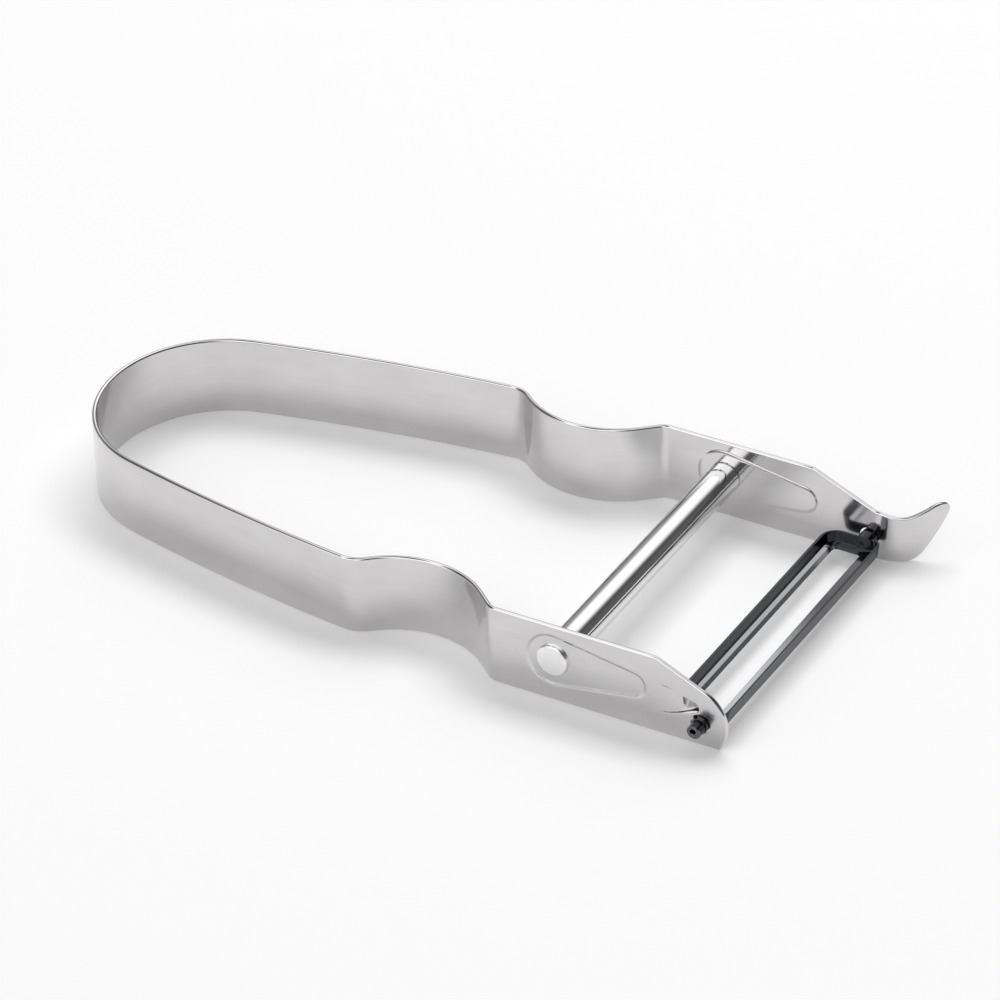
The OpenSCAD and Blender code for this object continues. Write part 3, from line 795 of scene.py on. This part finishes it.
# The rim's outer and inner top edges are painted brighter, partly as wear and partly as a painted
# highlight
blade_sheet = banded_piece("pressed_blade", bands, (pivot_x, 0, pivot_z),
                           bends={0: 5, 1: 4, 2: 4, 3: 4, 4: 3}, ground_bands=(4, 5),
                           wear_and_highlight_edges={1: 0.45, 2: 0.3})
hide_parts("swivel_blade")
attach(blade_sheet, "blade")
blade_metal, blade_surface, _ = metal_of("blade_metal", colour=dark_steel, roughness=0.13,
                                         grain=0.8, clouding=0.5, scratches=0.6)
blade_tree = blade_metal.node_tree
# The ground share brings in ground metal, and also the painted shade and painted highlights
ground_share = blade_tree.nodes.new("ShaderNodeAttribute")
ground_share.attribute_name = "ground"
# As a mix of colours, the node takes them from sockets 6 and 7 and gives the result at 2
dark_or_ground = blade_tree.nodes.new("ShaderNodeMix")
dark_or_ground.data_type = "RGBA"
dark_or_ground.inputs[6].default_value = (*dark_steel, 1)
dark_or_ground.inputs[7].default_value = (*ground_steel, 1)
blade_tree.links.new(ground_share.outputs["Fac"], dark_or_ground.inputs[0])
blade_tree.links.new(dark_or_ground.outputs[2], blade_surface.inputs["Colour"])
blade_sheet.data.materials.append(blade_metal)

# ---------------------------------------------------------------------------
# Pins: the ends of the blade, each a tab of its sheet rolled up into a scroll.
# The inner turn is longer, so the pin ends in a slimmer tip outside the plate.
# ---------------------------------------------------------------------------
roll_bore_r, roll_t, roll_pitch, roll_edge = 0.3, 0.22, 0.24, 0.05
pin_r, pin_tip_r = 1.4, 1.12
pin_root_y, pin_collar_y, pin_tip_y = 21.98, 25.1, 26.6
roll_mean_r = roll_bore_r + roll_t / 2
roll_turns = (pin_r - roll_mean_r - roll_t / 2) / roll_pitch
tip_turns = (pin_tip_r - roll_mean_r - roll_t / 2) / roll_pitch


def rolled_length(turns):
    return 2 * math.pi * (roll_mean_r * turns + roll_pitch * turns ** 2 / 2)


def rolled_pin(name, side, seam, cut_bright):
    """One pin, with the outer edge of its roll at the angle seam, seen from the near side."""
    def place(at, _):
        grown = np.sqrt(roll_mean_r ** 2 + roll_pitch * at[:, 0] / math.pi) - roll_mean_r
        turn = grown / roll_pitch
        r = roll_mean_r + roll_pitch * turn
        a = 2 * math.pi * (turn - roll_turns) + math.radians(seam)
        return np.stack([pivot_x + r * np.cos(a), side * at[:, 1], pivot_z + r * np.sin(a)], 1)

    wide, narrow = rolled_length(roll_turns), rolled_length(tip_turns)
    cut = filled_out(rounded_path([
        (0, pin_root_y, 0.1), (wide, pin_root_y, 0.1), (wide, pin_collar_y, 0.2),
        (narrow, pin_collar_y, 0.1), (narrow, pin_tip_y, 0.2), (0, pin_tip_y, 0.1),
    ], closed=True), spacing=0.09)
    step_round, step_along, clear_of_cut = 0.11, 0.6, 0.15
    rows = np.array([(u, y) for u in np.arange(0.1, wide, step_round)
                     for y in np.arange(pin_root_y + 0.5, pin_tip_y, step_along)])
    rows = rows[inside_of(rows, [cut])]
    rows = rows[nearest_gap(rows, cut) > clear_of_cut]
    return sheet_piece(name, [cut], rows, place, roll_t, roll_edge, cut_bright=cut_bright)


# The near pin's cut edges are painted brighter than the far pin's: painted light on the end of its
# tip
for pin in (rolled_pin("near_pin", side=-1, seam=100, cut_bright=0.35),
            rolled_pin("far_pin", side=1, seam=60, cut_bright=0.05)):
    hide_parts("swivel_blade")
    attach(pin, "blade")
    pin.data.materials.append(blade_metal)

# ---------------------------------------------------------------------------
# Floor, light and camera: a plain pale floor, two soft lamps that light the peeler, the room that
# its polished metal mirrors, and a camera at the photo's viewing angle.
# ---------------------------------------------------------------------------
floor_half, floor_glow = 3.0, 0.22
floor_mesh = bpy.data.meshes.new("floor")
floor_mesh.from_pydata([(-floor_half, -floor_half, 0), (floor_half, -floor_half, 0),
                        (floor_half, floor_half, 0), (-floor_half, floor_half, 0)], [],
                       [(0, 1, 2, 3)])
floor = bpy.data.objects.new("floor", floor_mesh)
bpy.context.scene.collection.objects.link(floor)
floor_paint = bpy.data.materials.new("floor_paint")
floor_paint.use_nodes = True
floor_tree = floor_paint.node_tree
floor_shader = floor_tree.nodes["Principled BSDF"]
floor_shader.inputs["Base Color"].default_value = (0.8, 0.8, 0.8, 1)
floor_shader.inputs["Roughness"].default_value = 0.7
floor_shader.inputs["Specular IOR Level"].default_value = 0.0
floor_shader.inputs["Emission Color"].default_value = (1, 1, 1, 1)
# A little glow, only where the camera, a mirror or a clear surface sees the floor
rays = floor_tree.nodes.new("ShaderNodeLightPath")
seen = maths(floor_tree, "MAXIMUM", rays.outputs["Is Camera Ray"], rays.outputs["Is Glossy Ray"])
seen = maths(floor_tree, "MAXIMUM", seen, rays.outputs["Is Transmission Ray"])
floor_tree.links.new(maths(floor_tree, "MULTIPLY", seen, floor_glow),
                     floor_shader.inputs["Emission Strength"])
floor.data.materials.append(floor_paint)

# The room has a soft panel behind, one in front, a strip light overhead on the left and a light
# overhead on the right, and is dark elsewhere. The front and the right one are there only for
# mirror reflections, so that the floor keeps its shadow.
world = bpy.data.worlds.new("studio")
bpy.context.scene.world = world
world.use_nodes = True
room_tree = world.node_tree
direction = room_tree.nodes.new("ShaderNodeTexCoord")
split = room_tree.nodes.new("ShaderNodeSeparateXYZ")
room_tree.links.new(direction.outputs["Generated"], split.inputs[0])
to_x, to_y, to_z = split.outputs
mirrored = room_tree.nodes.new("ShaderNodeLightPath").outputs["Is Glossy Ray"]


def area(strength, *edges, only=None):
    """A part of the room with soft edges, each a direction, where it starts and where it's full."""
    factors = [between(room_tree, *soft_edge) for soft_edge in edges]
    factors += [strength] if only is None else [only, strength]
    whole = factors[0]
    for factor in factors[1:]:
        whole = maths(room_tree, "MULTIPLY", whole, factor)
    return whole


panel = area(1.42, (to_x, 0.50, 0.06), (to_x, -0.74, -0.28), (to_z, 0.24, 0.60),
             (to_y, 0.40, 0.60))
strip_light = area(1.1, (to_x, -0.54, -0.47), (to_x, -0.32, -0.39), (to_z, 0.60, 0.72))
front_panel = area(1.65, (to_x, 0.50, 0.30), (to_x, -0.86, -0.66), (to_z, 0.04, 0.34),
                   (to_y, -0.50, -0.66), only=mirrored)
right_light = area(1.0, (to_x, -0.12, 0.00), (to_x, 0.38, 0.28), (to_z, 0.50, 0.66), only=mirrored)
lit = maths(room_tree, "MAXIMUM", maths(room_tree, "MAXIMUM", panel, strip_light),
            maths(room_tree, "MAXIMUM", front_panel, right_light))
walls = maths(room_tree, "ADD", between(room_tree, to_x, 0.3, -0.5, 0.13, 0.34),
              between(room_tree, to_z, 0.3, 0.8, 0, -0.10))
# The low wall behind and the left overhead are darker, which draws thin lines along the cut edges
low_wall = area(0.85, (to_x, -0.62, -0.50), (to_x, 0.40, 0.20), (to_y, 0.60, 0.75),
                (to_z, 0.32, 0.20))
left_overhead = area(0.85, (to_x, -0.50, -0.56), (to_z, 0.55, 0.70))
for dark in (low_wall, left_overhead):
    walls = maths(room_tree, "MULTIPLY", walls, maths(room_tree, "SUBTRACT", 1.0, dark))
room_tree.links.new(maths(room_tree, "ADD", lit, walls),
                    room_tree.nodes["Background"].inputs["Color"])


peeler_middle = Vector((0.06, 0, 0))


def softbox(name, bearing, tilt, distance, width, height, brightness):
    """A lamp panel that faces the peeler, at a bearing from +Y towards +X and a tilt above the
    floor. brightness is that of its face, where 1 is white. The metal mirrors the room instead."""
    a, e = math.radians(bearing), math.radians(tilt)
    out = Vector((math.sin(a) * math.cos(e), math.cos(a) * math.cos(e), math.sin(e)))
    lamp = bpy.data.lights.new(name, "AREA")
    lamp.shape = "RECTANGLE"
    lamp.size, lamp.size_y = width, height
    lamp.energy = brightness * math.pi * width * height
    box = bpy.data.objects.new(name, lamp)
    box.location = peeler_middle + out * distance
    box.rotation_euler = out.to_track_quat("Z", "Y").to_euler()
    box.visible_glossy = False
    bpy.context.scene.collection.objects.link(box)


softbox("top_key", bearing=0, tilt=63, distance=1.2, width=1.3, height=0.45, brightness=4.6)
softbox("front_fill", bearing=180, tilt=50, distance=1.2, width=1.6, height=0.9, brightness=1.0)

# The camera looks at a point on the floor, and its focal length is in pixels of the photo
azimuth, elevation, roll = math.radians(30.934), math.radians(34.435), math.radians(-2.215)
looked_at, camera_distance = Vector((54.32, 12.96, 0)), 983.7
focal_pixels, image_pixels, sensor_width = 7102.3, 1000, 36
back = Vector((math.sin(azimuth) * math.cos(elevation), -math.cos(azimuth) * math.cos(elevation),
               math.sin(elevation)))
level = Vector((math.cos(azimuth), math.sin(azimuth), 0))
upward = back.cross(level)
right = level * math.cos(roll) + upward * math.sin(roll)
up = upward * math.cos(roll) - level * math.sin(roll)
camera_data = bpy.data.cameras.new("camera")
camera_data.sensor_width = sensor_width
camera_data.sensor_fit = "HORIZONTAL"
camera_data.lens = focal_pixels * sensor_width / image_pixels
camera_data.clip_start, camera_data.clip_end = 0.05, 20
camera = bpy.data.objects.new("camera", camera_data)
bpy.context.scene.collection.objects.link(camera)
stand = (back * camera_distance + looked_at) * MM
camera.matrix_world = Matrix(((right.x, up.x, back.x, stand.x), (right.y, up.y, back.y, stand.y),
                              (right.z, up.z, back.z, stand.z), (0, 0, 0, 1)))
bpy.context.scene.camera = camera
bpy.context.scene.view_settings.view_transform = "Standard"
